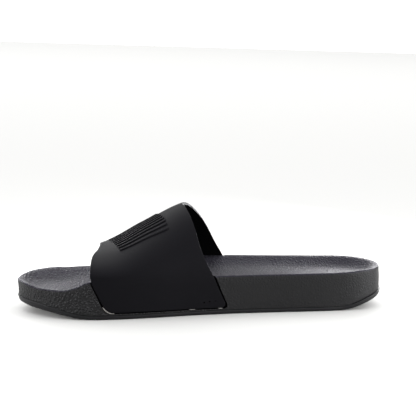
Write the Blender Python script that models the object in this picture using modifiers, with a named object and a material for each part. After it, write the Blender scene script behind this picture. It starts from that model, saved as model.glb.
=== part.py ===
"""Sport slide sandal, right shoe, in metres.

The sole stands on the plane Z = 0 with its toe towards -X, its heel towards +X, its inner side
towards -Y and its outer side towards +Y. The origin is the middle of the shoe's box, on the floor.

Three pieces: a cupped foam footbed with a pocket in each side, a thin rubber outsole under it that
curls up at toe and heel, and one hollow moulded strap whose ends go down into the two pockets.
A station is a place along the sole, as a share of its length from the heel.
"""
from collections import namedtuple

import bmesh
import bpy
import numpy as np

# Sole
LENGTH = 0.288
BALL_WIDTH = 0.0965
RIM_HEIGHT = 0.030
BED_HEIGHT = 0.024
HEEL_LIFT = 0.0085
TOE_SPRING = 0.0066
WALL_DRAFT = 0.0010
HEEL_FLARE = 0.0010
RIM_ROUNDING = 0.0016
SPINE_INSET = 0.031
SIDE_BLEND = 0.024

# Outsole
OUTSOLE_THICKNESS = 0.0032
OUTSOLE_END_THICKNESS = 0.0050
HEEL_LIP_PROUD = 0.0022
TOE_LIP_INSET = 0.0005
END_LEAN = 0.0014
EDGE_ROUNDING = 0.0015
LIP_ROUNDING = 0.0003
GROOVE_DEPTH = 0.0014
GROOVE_WIDTH = 0.0032
GROOVE_PITCH = 0.0125
GROOVE_MARGIN = 0.0105

# Strap
STRAP_WALL = 0.0024
STRAP_HEIGHT = 0.0770
STRAP_PROUD = 0.0003
STRAP_FOOT = 0.0022
STRAP_CORNER = 0.0045
STRAP_EDGE_ROUNDING = 0.0006
SPRING_GIRTH = 0.73
POCKET_GIRTH = 0.642
RIB_COUNT = 9
RIB_LENGTH = 0.037
RIB_WIDTH = 0.0022
RIB_PITCH = 0.0052
RIB_HEIGHT = 0.0011
RIB_STATION = 0.684
RIB_MIDDLE = -0.003

# Gap that meeting pieces keep, and the wider one round the strap's ends in their pockets
CLEARANCE = 0.0003
POCKET_GAP = 0.0010

# Number of points and rings that the curved pieces are worked out with
OUTLINE_STEPS = 3
FINE_STEPS = 24
JOINT_WAYS = (1.0, 0.75, 0.5, 0.25, 0.08, 0.0)
TREAD_WAYS = (1.0, 0.7, 0.35, 0.0)
STRAP_GIRTH_STEPS = 60
STRAP_WIDTH_STEPS = 10
GIRTH_SAMPLES = 1200
RIB_STEPS = 8
SHARP_ANGLE = np.radians(35)
BEVEL_ANGLE = np.radians(50)

# Flat part of the underside, from behind the ball to the heel
FLAT_START_STATION = 0.150
FLAT_END_STATION = 0.830

# Half widths to the inner and outer side, as shares of half the ball width
Outline = namedtuple("Outline", "station inner outer")
OUTLINE = [
    Outline(0.000, 0.000, 0.000),
    Outline(0.008, 0.235, 0.235),
    Outline(0.033, 0.477, 0.477),
    Outline(0.069, 0.622, 0.620),
    Outline(0.118, 0.707, 0.702),
    Outline(0.181, 0.740, 0.744),
    Outline(0.260, 0.745, 0.767),
    Outline(0.365, 0.748, 0.808),
    Outline(0.469, 0.775, 0.870),
    Outline(0.573, 0.837, 0.949),
    Outline(0.667, 0.918, 1.008),
    Outline(0.747, 0.970, 1.020),
    Outline(0.816, 0.980, 0.970),
    Outline(0.875, 0.926, 0.837),
    Outline(0.924, 0.800, 0.646),
    Outline(0.962, 0.607, 0.423),
    Outline(0.988, 0.383, 0.187),
    Outline(1.000, 0.092, -0.092),
]

# Rim on the inner and outer side as shares of the rim height, footbed as shares of the bed height
Height = namedtuple("Height", "station rim_inner rim_outer bed")
HEIGHTS = [
    Height(0.00, 1.055, 1.055, 1.06),
    Height(0.07, 1.045, 1.040, 1.00),
    Height(0.15, 1.010, 1.020, 0.98),
    Height(0.38, 0.995, 1.030, 1.03),
    Height(0.52, 0.995, 1.030, 1.00),
    Height(0.66, 0.990, 0.900, 0.86),
    Height(0.77, 0.975, 0.725, 0.74),
    Height(0.84, 0.945, 0.730, 0.69),
    Height(0.875, 0.805, 0.765, 0.69),
    Height(0.91, 0.715, 0.785, 0.70),
    Height(0.96, 0.710, 0.795, 0.73),
    Height(1.00, 0.780, 0.780, 0.80),
]

# Underside as a share of the heel lift or toe spring, how far the outsole has its end form, and how
# far the side wall has the heel's flare
Underside = namedtuple("Underside", "station lift spring end heel")
UNDERSIDES = [
    Underside(0.000, 1.00, 0.00, 1.00, 1.0),
    Underside(0.028, 0.88, 0.00, 0.95, 0.9),
    Underside(0.069, 0.54, 0.00, 0.75, 0.6),
    Underside(0.094, 0.29, 0.00, 0.50, 0.4),
    Underside(0.118, 0.10, 0.00, 0.25, 0.2),
    Underside(FLAT_START_STATION, 0.00, 0.00, 0.00, 0.0),
    Underside(FLAT_END_STATION, 0.00, 0.00, 0.00, 0.0),
    Underside(0.860, 0.00, 0.12, 0.00, 0.0),
    Underside(0.890, 0.00, 0.34, 0.15, 0.0),
    Underside(0.925, 0.00, 0.62, 0.50, 0.0),
    Underside(0.970, 0.00, 0.86, 1.00, 0.0),
    Underside(1.000, 0.00, 1.00, 1.00, 0.0),
]

# Side wall of the footbed from the joint up to the rim: height and inset as a share of the draft
WallStep = namedtuple("WallStep", "height inset")
WALL = [
    WallStep(0.00, 1.00),
    WallStep(0.30, 0.90),
    WallStep(0.60, 0.55),
    WallStep(0.85, 0.10),
]

# Rounded rim: how far in and how far below the top, as shares of the rounding
RIM = [
    WallStep(-0.75, 0.00),
    WallStep(-0.22, 0.30),
    WallStep(0.00, 1.00),
]

# Rounded lower edge of the outsole from the tread up to its side: how far up and how far in, as
# shares of the rounding, and the share of the lean that its ends have there
EdgeStep = namedtuple("EdgeStep", "height inset lean")
OUTSOLE_EDGE = [
    EdgeStep(0.00, 1.60, 1.00),
    EdgeStep(0.65, 0.35, 0.80),
    EdgeStep(1.40, 0.00, 0.60),
]

# Dish of the footbed: way from rim to middle line, and share of the rim's rise that is left there
Dish = namedtuple("Dish", "way rise")
DISH = [
    Dish(0.06, 0.90),
    Dish(0.13, 0.70),
    Dish(0.21, 0.46),
    Dish(0.31, 0.24),
    Dish(0.44, 0.08),
    Dish(0.62, 0.01),
    Dish(0.82, 0.00),
    Dish(1.00, 0.00),
]

# Strap's crown as a share of its height, how far its ridge lies to the inner side as a share of the
# half width there, and how square its section is on the inner and on the outer side
Section = namedtuple("Section", "station crown ridge square_inner square_outer")
SECTIONS = [
    Section(0.38, 1.140, 0.06, 2.2, 2.2),
    Section(0.50, 1.085, 0.06, 2.1, 2.3),
    Section(0.56, 1.018, 0.08, 2.1, 2.3),
    Section(0.66, 0.816, 0.12, 2.1, 2.3),
    Section(0.77, 0.606, 0.20, 2.1, 2.2),
    Section(0.81, 0.584, 0.22, 2.1, 2.2),
    Section(0.85, 0.600, 0.22, 2.1, 2.2),
]

# Strap's rear and front edges: girth is -1 at the inner foot, 0 at the crown and 1 at the outer foot
Edge = namedtuple("Edge", "girth rear front")
EDGES = [
    Edge(-1.00, 0.464, 0.792),
    Edge(-0.86, 0.488, 0.817),
    Edge(-0.73, 0.508, 0.836),
    Edge(-0.64, 0.527, 0.838),
    Edge(-0.50, 0.546, 0.836),
    Edge(-0.37, 0.554, 0.831),
    Edge(-0.25, 0.559, 0.824),
    Edge(-0.12, 0.562, 0.812),
    Edge(0.00, 0.562, 0.797),
    Edge(0.12, 0.555, 0.780),
    Edge(0.25, 0.529, 0.766),
    Edge(0.50, 0.461, 0.754),
    Edge(0.64, 0.428, 0.750),
    Edge(0.73, 0.406, 0.748),
    Edge(0.86, 0.390, 0.735),
    Edge(1.00, 0.367, 0.715),
]

# Section of a raised rib: way across as a share of its half width, and height as a share of its own
RibPoint = namedtuple("RibPoint", "way up")
RIB_SECTION = [
    RibPoint(-1.0, -0.4),
    RibPoint(-1.0, 0.7),
    RibPoint(-0.6, 1.0),
    RibPoint(0.6, 1.0),
    RibPoint(1.0, 0.7),
    RibPoint(1.0, -0.4),
]
RIB_END_SHARE = 0.25


def column(rows, name):
    """One named column of a table."""
    return np.array([getattr(row, name) for row in rows])


def smooth(rows, key, name, where):
    """A column read between its rows by a cubic that never overshoots them."""
    x = column(rows, key)
    y = column(rows, name)
    step = np.diff(x)
    slope = np.diff(y) / step
    bend = np.concatenate([slope[:1], np.zeros(len(x) - 2), slope[-1:]])
    turning = slope[:-1] * slope[1:] > 0
    total = np.where(turning, slope[:-1] + slope[1:], 1.0)
    bend[1:-1] = np.where(turning, 2 * slope[:-1] * slope[1:] / total, 0.0)
    where = np.clip(np.asarray(where, float), x[0], x[-1])
    i = np.clip(np.searchsorted(x, where) - 1, 0, len(x) - 2)
    t = (where - x[i]) / step[i]
    return ((2 * t**3 - 3 * t**2 + 1) * y[i] + (t**3 - 2 * t**2 + t) * step[i] * bend[i]
            + (3 * t**2 - 2 * t**3) * y[i + 1] + (t**3 - t**2) * step[i] * bend[i + 1])


def closed_curve(points, steps):
    """A closed curve through the points, with the same number of steps in each span."""
    before = np.roll(points, 1, axis=0)
    after = np.roll(points, -1, axis=0)
    beyond = np.roll(points, -2, axis=0)
    t = (np.arange(steps) / steps)[None, :, None]
    a, b, c, d = (p[:, None, :] for p in (before, points, after, beyond))
    curve = 0.5 * (2 * b + (c - a) * t + (2 * a - 5 * b + 4 * c - d) * t**2
                   + (3 * b - a - 3 * c + d) * t**3)
    return curve.reshape(-1, 2)


def station_of(x):
    return 0.5 - np.asarray(x) / LENGTH


def x_at(station):
    return LENGTH * (0.5 - np.asarray(station))


def outline(steps):
    """Sole outline from the heel along the inner side to the toe and back along the outer side."""
    x = x_at(column(OUTLINE, "station"))
    inner = -column(OUTLINE, "inner") * BALL_WIDTH / 2
    outer = column(OUTLINE, "outer") * BALL_WIDTH / 2
    there = np.column_stack([x, inner])
    back = np.column_stack([x, outer])[-2:0:-1]
    return closed_curve(np.vstack([there, back]), steps)


def inward(curve):
    """Unit directions into the outline, square to it."""
    along = np.roll(curve, -1, axis=0) - np.roll(curve, 1, axis=0)
    normal = np.column_stack([along[:, 1], -along[:, 0]])
    return normal / np.linalg.norm(normal, axis=1)[:, None]


FINE = outline(FINE_STEPS)
FINE_HALF = len(FINE) // 2


def side_y(x, side):
    """The outline's Y at a given X, on the inner side (-1) or the outer side (1)."""
    inner = FINE[:FINE_HALF + 1][::-1]
    outer = np.vstack([FINE[FINE_HALF:], FINE[:1]])
    line = inner if side < 0 else outer
    return np.interp(x, line[:, 0], line[:, 1])


def spine(curve):
    """Middle line of the sole: each point of the outline has its partner there, inner with outer."""
    half_length = LENGTH / 2
    x = curve[:, 0] * (half_length - SPINE_INSET) / half_length
    y = (side_y(x, -1) + side_y(x, 1)) / 2
    return np.column_stack([x, y])


def underside(x):
    s = station_of(x)
    return HEEL_LIFT * smooth(UNDERSIDES, "station", "lift", s) + TOE_SPRING * smooth(
        UNDERSIDES, "station", "spring", s)


def end_form(x):
    return smooth(UNDERSIDES, "station", "end", station_of(x))


def joint(x):
    """Height of the outsole's top, where the footbed sits on it."""
    extra = (OUTSOLE_END_THICKNESS - OUTSOLE_THICKNESS) * end_form(x)
    return underside(x) + OUTSOLE_THICKNESS + extra


def rim(x, inner_share):
    """Rim height, blended between the inner and the outer side."""
    s = station_of(x)
    inner = smooth(HEIGHTS, "station", "rim_inner", s)
    outer = smooth(HEIGHTS, "station", "rim_outer", s)
    return RIM_HEIGHT * (inner * inner_share + outer * (1 - inner_share))


def bed(x):
    return BED_HEIGHT * smooth(HEIGHTS, "station", "bed", station_of(x))


def draft(x):
    """How far the foot of the side wall lies inside the outline. It flares outwards at the heel."""
    heel = smooth(UNDERSIDES, "station", "heel", station_of(x))
    return WALL_DRAFT - (WALL_DRAFT + HEEL_FLARE) * heel


def wall_inset(x, share):
    """How far the side wall lies inside the outline at a share of its height."""
    return draft(x) * smooth(WALL, "height", "inset", share)


def wall_foot(curve, normal):
    return curve + normal * draft(curve[:, 0])[:, None]


def ring(plan, z):
    return np.column_stack([plan, np.broadcast_to(z, len(plan))])


def mesh_object(name, vertices, faces, target):
    mesh = bpy.data.meshes.new(name)
    mesh.from_pydata([tuple(v) for v in vertices], [], faces)
    body = bmesh.new()
    body.from_mesh(mesh)
    bmesh.ops.remove_doubles(body, verts=body.verts, dist=1e-6)
    bmesh.ops.recalc_face_normals(body, faces=body.faces)
    body.to_mesh(mesh)
    body.free()
    made = bpy.data.objects.new(name, mesh)
    target.objects.link(made)
    return made


def ringed_body(name, rings, target):
    """A closed body from rings that begin and end on the spine.

    Each four-sided face is split along its shorter diagonal, so that the facing sides of two
    bodies that share their rings are split alike and keep their gap.
    """
    count = len(rings[0])
    points = np.vstack(rings)
    faces = []
    for level in range(len(rings) - 1):
        for i in range(count):
            j = (i + 1) % count
            a, b = level * count + i, level * count + j
            c, d = b + count, a + count
            if np.linalg.norm(points[a] - points[c]) < np.linalg.norm(points[b] - points[d]):
                faces += [(a, b, c), (a, c, d)]
            else:
                faces += [(a, b, d), (b, c, d)]
    return mesh_object(name, points, faces, target)


def grid_faces(rows, columns):
    return [(r * columns + c, r * columns + c + 1, (r + 1) * columns + c + 1, (r + 1) * columns + c)
            for r in range(rows - 1) for c in range(columns - 1)]


def material(name, color, roughness):
    made = bpy.data.materials.new(name)
    made.use_nodes = True
    shader = made.node_tree.nodes["Principled BSDF"]
    shader.inputs["Base Color"].default_value = (*color, 1.0)
    shader.inputs["Roughness"].default_value = roughness
    shader.inputs["Metallic"].default_value = 0.0
    return made


def cut(body, cutter):
    difference = body.modifiers.new(cutter.name, "BOOLEAN")
    difference.operation = "DIFFERENCE"
    difference.object = cutter
    difference.solver = "EXACT"


def hide_guide(cutter):
    cutter.hide_render = True
    cutter.display_type = "WIRE"


def footbed(target):
    """Cupped foam unit: flat joint below, drafted side wall, rounded rim and dished footbed."""
    curve = outline(OUTLINE_STEPS)
    normal = inward(curve)
    middle = spine(curve)
    toward_inner = smooth_side(curve)
    foot = wall_foot(curve, normal)
    rings = [plan + [0, 0, CLEARANCE] for plan in joint_rings(foot, middle)]
    low = joint(curve[:, 0]) + CLEARANCE
    top = rim(curve[:, 0], toward_inner)
    for step in WALL[1:]:
        plan = curve + normal * (draft(curve[:, 0]) * step.inset)[:, None]
        rings.append(ring(plan, low + (top - low) * step.height))
    for step in RIM:
        plan = curve + normal * RIM_ROUNDING * step.inset
        rings.append(ring(plan, top + RIM_ROUNDING * step.height))
    edge = curve + normal * RIM_ROUNDING
    for step in DISH:
        plan = edge + (middle - edge) * step.way
        floor = bed(plan[:, 0])
        rings.append(ring(plan, floor + (top - floor) * step.rise))
    return ringed_body("footbed", rings, target)


def joint_rings(foot, middle):
    """Rings of the face between outsole and footbed, from the spine out to the foot of the wall."""
    plans = [foot + (middle - foot) * way for way in JOINT_WAYS]
    return [ring(plan, joint(plan[:, 0])) for plan in plans]


def smooth_side(curve):
    """1 on the inner side and 0 on the outer side, turning smoothly round the toe and the heel."""
    across = (curve[:, 1] - spine(curve)[:, 1]) / SIDE_BLEND
    return 0.5 - 0.5 * np.clip(across, -1, 1)


def outsole(target):
    """Thin rubber sole, curled up at heel and toe, where its side leans in below a narrow lip."""
    curve = outline(OUTLINE_STEPS)
    normal = inward(curve)
    middle = spine(curve)
    x = curve[:, 0]
    proud = np.where(x > 0, HEEL_LIP_PROUD, -TOE_LIP_INSET)
    lip = draft(x) - (draft(x) + proud) * end_form(x)
    side = curve + normal * lip[:, None]
    edge = [side + normal * (EDGE_ROUNDING * step.inset + END_LEAN * end_form(x) * step.lean)[:, None]
            for step in OUTSOLE_EDGE]
    tread = edge[0]
    rings = []
    for way in TREAD_WAYS:
        plan = tread + (middle - tread) * way
        rings.append(ring(plan, underside(plan[:, 0])))
    for plan, step in zip(edge[1:], OUTSOLE_EDGE[1:]):
        rings.append(ring(plan, underside(x) + EDGE_ROUNDING * step.height))
    rings.append(ring(side, joint(x) - LIP_ROUNDING))
    rings += joint_rings(wall_foot(curve, normal), middle)[::-1][1:]
    return ringed_body("outsole", rings, target)


def groove_cutter(target):
    """Boxes that cut the cross grooves between the main lugs, clear of the sole's edge."""
    blocks = bmesh.new()
    count = round((FLAT_END_STATION - FLAT_START_STATION) * LENGTH / GROOVE_PITCH)
    for i in range(count):
        x = x_at(FLAT_START_STATION) - GROOVE_PITCH * (i + 1)
        inner = side_y(x, -1) + GROOVE_MARGIN
        outer = side_y(x, 1) - GROOVE_MARGIN
        made = bmesh.ops.create_cube(blocks, size=1.0)["verts"]
        bmesh.ops.scale(blocks, vec=(GROOVE_WIDTH, outer - inner, 2 * GROOVE_DEPTH), verts=made)
        bmesh.ops.translate(blocks, vec=(x, (outer + inner) / 2, 0.0), verts=made)
    mesh = bpy.data.meshes.new("groove_cutter")
    blocks.to_mesh(mesh)
    blocks.free()
    cutter = bpy.data.objects.new("groove_cutter", mesh)
    target.objects.link(cutter)
    hide_guide(cutter)
    return cutter


def section(x, side):
    """Ridge, half width, squareness and rise of the strap's section at X, on one side of its ridge."""
    s = station_of(x)
    inner = side_y(x, -1) - STRAP_PROUD
    outer = side_y(x, 1) + STRAP_PROUD
    ridge = (inner + outer) / 2 - (outer - inner) / 2 * smooth(SECTIONS, "station", "ridge", s)
    half = np.where(side < 0, ridge - inner, outer - ridge)
    square = np.where(side < 0, smooth(SECTIONS, "station", "square_inner", s),
                      smooth(SECTIONS, "station", "square_outer", s))
    rise = STRAP_HEIGHT * smooth(SECTIONS, "station", "crown", s) - RIM_HEIGHT
    return ridge, half, square, rise


def strap_surface(girth, across, spread=0.0, drop=0.0):
    """Outer face of the strap.

    Girth runs over the foot from -1 to 1, across from 0 at the rear edge to 1 at the front edge.
    Below the spring line the strap lies on the sole's wall. Above it, each section across the foot
    is a superellipse from wall to wall. Spread widens the strap along X and drop lengthens its
    ends, for the pockets.
    """
    side = np.sign(girth)
    reach = np.abs(girth)
    on_wall = np.clip((reach - SPRING_GIRTH) / (1 - SPRING_GIRTH), 0, 1)
    foot_length = RIM_HEIGHT - OUTSOLE_THICKNESS - STRAP_FOOT
    above_foot = (1 - on_wall) * foot_length
    hidden = np.clip(STRAP_CORNER - above_foot, 0, STRAP_CORNER)
    corner = STRAP_CORNER - np.sqrt(STRAP_CORNER**2 - hidden**2)
    corner = np.where(reach > SPRING_GIRTH, corner, 0.0)
    rear = x_at(smooth(EDGES, "girth", "rear", girth)) - corner + spread
    front = x_at(smooth(EDGES, "girth", "front", girth)) + corner - spread
    x = rear + (front - rear) * across
    ridge, half, square, rise = section(x, side)
    angle = np.pi / 2 * np.clip(reach / SPRING_GIRTH, 0, 1)
    radius = (np.sin(angle)**square + np.cos(angle)**square)**(-1 / square)
    inset = np.where(on_wall > 0, wall_inset(x, 1 - on_wall), 0.0)
    y = ridge + side * (half * radius * np.sin(angle) - inset)
    wall_z = RIM_HEIGHT - on_wall * (foot_length + drop)
    arch_z = RIM_HEIGHT + rise * radius * np.cos(angle)
    z = np.where(on_wall > 0, wall_z, arch_z)
    return np.stack([x, y, z], axis=-1)


def even_girth(steps):
    """Girth values that are evenly spaced on the mean of the strap's two edges."""
    fine = np.linspace(-1, 1, GIRTH_SAMPLES)
    run = np.zeros(len(fine))
    for across in (0.0, 1.0):
        path = strap_surface(fine, across)
        run[1:] += np.cumsum(np.linalg.norm(np.diff(path, axis=0), axis=1))
    return np.interp(np.linspace(0, run[-1], steps + 1), run, fine)


def strap(target):
    """The open surface of the strap, given its wall and rounded edges by modifiers."""
    girth = even_girth(STRAP_GIRTH_STEPS)
    across = np.linspace(0, 1, STRAP_WIDTH_STEPS + 1)
    g, a = np.meshgrid(girth, across, indexing="ij")
    points = strap_surface(g, a)
    body = mesh_object("strap", points.reshape(-1, 3), grid_faces(*g.shape), target)
    face_out(body)
    wall = body.modifiers.new("wall", "SOLIDIFY")
    wall.thickness = STRAP_WALL
    wall.offset = -1
    wall.use_even_offset = True
    rounding = body.modifiers.new("rounding", "BEVEL")
    rounding.width = min(STRAP_EDGE_ROUNDING, STRAP_WALL / 3)
    rounding.segments = 2
    rounding.limit_method = "ANGLE"
    rounding.angle_limit = BEVEL_ANGLE
    return body


def face_out(body):
    """Turns an open arch's faces to look up and out."""
    top = max(body.data.polygons, key=lambda face: face.center.z)
    if top.normal.z < 0:
        body.data.flip_normals()


def pocket_cutter(side, target):
    """Slab that cuts the pocket for one end of the strap, wider than the strap by the clearance."""
    girth = even_girth(STRAP_GIRTH_STEPS)
    girth = girth[girth * side > POCKET_GIRTH]
    across = np.linspace(0, 1, STRAP_WIDTH_STEPS + 1)
    g, a = np.meshgrid(girth, across, indexing="ij")
    points = strap_surface(g, a, POCKET_GAP, POCKET_GAP)
    points[..., 1] += side * STRAP_WALL
    name = "pocket_cutter_inner" if side < 0 else "pocket_cutter_outer"
    cutter = mesh_object(name, points.reshape(-1, 3), grid_faces(*g.shape), target)
    first = cutter.data.polygons[0]
    if first.normal.y * side < 0:
        cutter.data.flip_normals()
    slab = cutter.modifiers.new("slab", "SOLIDIFY")
    slab.thickness = STRAP_WALL + CLEARANCE + STRAP_WALL
    slab.offset = -1
    slab.use_even_offset = True
    hide_guide(cutter)
    return cutter


def rib(index, target):
    """One raised rib on the strap's crown: a low bar with rounded ends, sunk into the wall."""
    lateral = RIB_MIDDLE + (index - (RIB_COUNT - 1) / 2) * RIB_PITCH
    x = x_at(RIB_STATION) + np.linspace(-RIB_LENGTH / 2, RIB_LENGTH / 2, RIB_STEPS + 1)
    from_end = np.minimum(x - x[0], x[-1] - x) / (RIB_WIDTH / 2)
    half = RIB_WIDTH / 2 * np.sqrt(1 - (1 - np.clip(from_end, RIB_END_SHARE, 1))**2)
    rows = []
    for point in RIB_SECTION:
        y = lateral + half * point.way
        rows.append(np.column_stack([x, y, crown_z(x, y) + RIB_HEIGHT * point.up]))
    count = len(rows)
    points = np.stack(rows, axis=1).reshape(-1, 3)
    faces = [(r * count + c, r * count + (c + 1) % count,
              (r + 1) * count + (c + 1) % count, (r + 1) * count + c)
             for r in range(RIB_STEPS) for c in range(count)]
    faces.append(tuple(range(count)))
    faces.append(tuple(RIB_STEPS * count + c for c in range(count)))
    made = mesh_object(f"rib_{index + 1}", points, faces, target)
    hide_guide(made)
    return made


def crown_z(x, y):
    """Height of the strap's outer face over a point of the plan."""
    side = np.where(y < section(x, 1)[0], -1, 1)
    ridge, half, square, rise = section(x, side)
    share = np.abs(y - ridge) / half
    return RIM_HEIGHT + rise * (1 - share**square)**(1 / square)


def join_ribs(body, ribs):
    for piece in ribs:
        union = body.modifiers.new(piece.name, "BOOLEAN")
        union.operation = "UNION"
        union.object = piece
        union.solver = "EXACT"


def centre_on_origin(objects, guides):
    """Moves everything so that the origin is the middle of the shoe's box in plan."""
    bpy.context.view_layer.update()
    graph = bpy.context.evaluated_depsgraph_get()
    corners = []
    for body in objects:
        mesh = body.evaluated_get(graph).to_mesh()
        flat = np.empty(3 * len(mesh.vertices))
        mesh.vertices.foreach_get("co", flat)
        corners.append(flat.reshape(-1, 3))
        body.evaluated_get(graph).to_mesh_clear()
    points = np.vstack(corners)
    middle = (points.min(axis=0) + points.max(axis=0)) / 2
    for body in objects + guides:
        body.location.x = -middle[0]
        body.location.y = -middle[1]


def main():
    for old in list(bpy.data.objects):
        bpy.data.objects.remove(old, do_unlink=True)
    shoe = bpy.data.collections.new("sport_slide_sandal")
    guides = bpy.data.collections.new("cutters")
    for group in (shoe, guides):
        bpy.context.scene.collection.children.link(group)

    foam = footbed(shoe)
    rubber = outsole(shoe)
    band = strap(shoe)
    foam.data.materials.append(material("black_foam", (0.045, 0.044, 0.048), 0.62))
    rubber.data.materials.append(material("black_rubber", (0.035, 0.035, 0.038), 0.55))
    band.data.materials.append(material("black_moulded_rubber", (0.016, 0.016, 0.017), 0.5))

    pockets = [pocket_cutter(side, guides) for side in (-1, 1)]
    for pocket in pockets:
        cut(foam, pocket)
    grooves = groove_cutter(guides)
    cut(rubber, grooves)
    ribs = [rib(i, guides) for i in range(RIB_COUNT)]
    join_ribs(band, ribs)

    pieces = [foam, rubber, band]
    centre_on_origin(pieces, pockets + [grooves] + ribs)
    for body in pieces:
        body.data.shade_smooth()
        body.data.set_sharp_from_angle(angle=SHARP_ANGLE)


main()
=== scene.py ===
"""Looks of a sport slide sandal, right shoe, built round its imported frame. Metres, +Z up.

Toe towards -X, heel towards +X, inner side towards -Y. A station is a place along the sole, as a
share of its length from the heel. Girth runs over the foot from -1 at the strap's inner end to 1 at
its outer end.
"""

import math

import bmesh
import bpy
import numpy as np
from bpy.props import FloatProperty, FloatVectorProperty, IntProperty, PointerProperty
from mathutils import Matrix, Vector


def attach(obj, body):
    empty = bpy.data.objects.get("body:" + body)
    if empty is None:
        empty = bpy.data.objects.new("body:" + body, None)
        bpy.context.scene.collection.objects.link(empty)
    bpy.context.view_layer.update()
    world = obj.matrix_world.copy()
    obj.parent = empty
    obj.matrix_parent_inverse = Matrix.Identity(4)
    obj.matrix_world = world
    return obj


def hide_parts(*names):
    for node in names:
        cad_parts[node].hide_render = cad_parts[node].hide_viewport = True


bl_info = {
    "name": "Sport slide sandal",
    "version": (1, 0, 0),
    "blender": (4, 5, 0),
    "location": "3D View > Sidebar > Sandal",
    "description": "Dresses the packed frame of a sport slide sandal and sets up its studio",
    "category": "Add Mesh",
}

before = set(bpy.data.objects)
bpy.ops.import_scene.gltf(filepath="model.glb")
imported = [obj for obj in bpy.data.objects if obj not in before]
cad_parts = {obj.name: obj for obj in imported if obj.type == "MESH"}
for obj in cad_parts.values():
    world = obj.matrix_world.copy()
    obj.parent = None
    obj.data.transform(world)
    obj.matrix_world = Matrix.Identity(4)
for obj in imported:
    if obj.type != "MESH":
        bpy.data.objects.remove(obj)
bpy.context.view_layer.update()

# The shoe is drawn round the middle of its length, then moved so that its box is centred
TO_ORIGIN = (-0.00110, -0.00098, 0.0)

# Half widths of the sole as shares of half the ball width: station, inner, outer
OUTLINE = np.array([
    (0.000, 0.000, 0.000), (0.008, 0.235, 0.235), (0.033, 0.477, 0.477), (0.069, 0.622, 0.620),
    (0.118, 0.707, 0.702), (0.181, 0.740, 0.744), (0.260, 0.745, 0.767), (0.365, 0.748, 0.808),
    (0.469, 0.775, 0.870), (0.573, 0.837, 0.949), (0.667, 0.918, 1.008), (0.747, 0.970, 1.020),
    (0.816, 0.980, 0.970), (0.875, 0.926, 0.837), (0.924, 0.800, 0.646), (0.962, 0.607, 0.423),
    (0.988, 0.383, 0.187), (1.000, 0.092, -0.092)])

# Rim as shares of the rim height, bed as shares of the bed height: station, inner, outer, bed
HEIGHTS = np.array([
    (0.00, 1.055, 1.055, 1.06), (0.07, 1.045, 1.040, 1.00), (0.15, 1.010, 1.020, 0.98),
    (0.38, 0.995, 1.030, 1.03), (0.52, 0.995, 1.030, 1.00), (0.66, 0.990, 0.900, 0.86),
    (0.77, 0.975, 0.725, 0.74), (0.84, 0.945, 0.730, 0.69), (0.875, 0.805, 0.765, 0.69),
    (0.91, 0.715, 0.785, 0.70), (0.96, 0.710, 0.795, 0.73), (1.00, 0.780, 0.780, 0.80)])

# Underside: station, share of the heel lift, of the toe spring, of the end form, of the heel flare
UNDERSIDES = np.array([
    (0.000, 1.00, 0.00, 1.00, 1.0), (0.028, 0.88, 0.00, 0.95, 0.9), (0.069, 0.54, 0.00, 0.75, 0.6),
    (0.094, 0.29, 0.00, 0.50, 0.4), (0.118, 0.10, 0.00, 0.25, 0.2), (0.150, 0.00, 0.00, 0.00, 0.0),
    (0.830, 0.00, 0.00, 0.00, 0.0), (0.860, 0.00, 0.12, 0.00, 0.0), (0.890, 0.00, 0.34, 0.15, 0.0),
    (0.925, 0.00, 0.62, 0.50, 0.0), (0.970, 0.00, 0.86, 1.00, 0.0), (1.000, 0.00, 1.00, 1.00, 0.0)])

# Side wall from the joint up: share of its height, share of the draft that it is set in
WALL = np.array([(0.00, 1.00), (0.30, 0.90), (0.60, 0.55), (0.85, 0.10), (1.00, 0.00)])

# Dish from the rim to the middle line: way, share of the rim's rise that is left
DISH = np.array([
    (0.00, 1.00), (0.06, 0.90), (0.13, 0.70), (0.21, 0.46), (0.31, 0.24), (0.44, 0.08),
    (0.62, 0.01), (0.82, 0.00), (1.00, 0.00)])

# Strap sections: station, crown, ridge set to the inner side, squareness on inner and outer side
SECTIONS = np.array([
    (0.38, 1.140, 0.06, 2.2, 2.2), (0.50, 1.085, 0.06, 2.1, 2.3), (0.56, 1.018, 0.08, 2.1, 2.3),
    (0.66, 0.816, 0.12, 2.1, 2.3), (0.77, 0.606, 0.20, 2.1, 2.2), (0.81, 0.584, 0.22, 2.1, 2.2),
    (0.85, 0.600, 0.22, 2.1, 2.2)])

# Strap edges: girth, station of the rear edge, station of the front edge
EDGES = np.array([
    (-1.00, 0.464, 0.792), (-0.86, 0.488, 0.817), (-0.73, 0.508, 0.836), (-0.64, 0.527, 0.838),
    (-0.50, 0.546, 0.836), (-0.37, 0.554, 0.831), (-0.25, 0.559, 0.824), (-0.12, 0.562, 0.812),
    (0.00, 0.562, 0.797), (0.12, 0.555, 0.780), (0.25, 0.529, 0.766), (0.50, 0.461, 0.754),
    (0.64, 0.428, 0.750), (0.73, 0.406, 0.748), (0.86, 0.390, 0.735), (1.00, 0.367, 0.715)])


def linear(hex_colour):
    """sRGB hex to linear red, green and blue."""
    value = np.array([int(hex_colour[i:i + 2], 16) for i in (1, 3, 5)]) / 255
    return tuple(float(v) for v in np.where(value <= 0.04045, value / 12.92,
                                            ((value + 0.055) / 1.055)**2.4))


def size(name, default, description):
    """A length that the user can set, in metres."""
    return FloatProperty(name=name, default=default, description=description, unit="LENGTH",
                         precision=5)


def colour(name, hex_colour, description):
    """A colour that the user can set, given as sRGB hex."""
    return FloatVectorProperty(name=name, default=linear(hex_colour), description=description,
                               subtype="COLOR", min=0.0, max=1.0)


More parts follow.
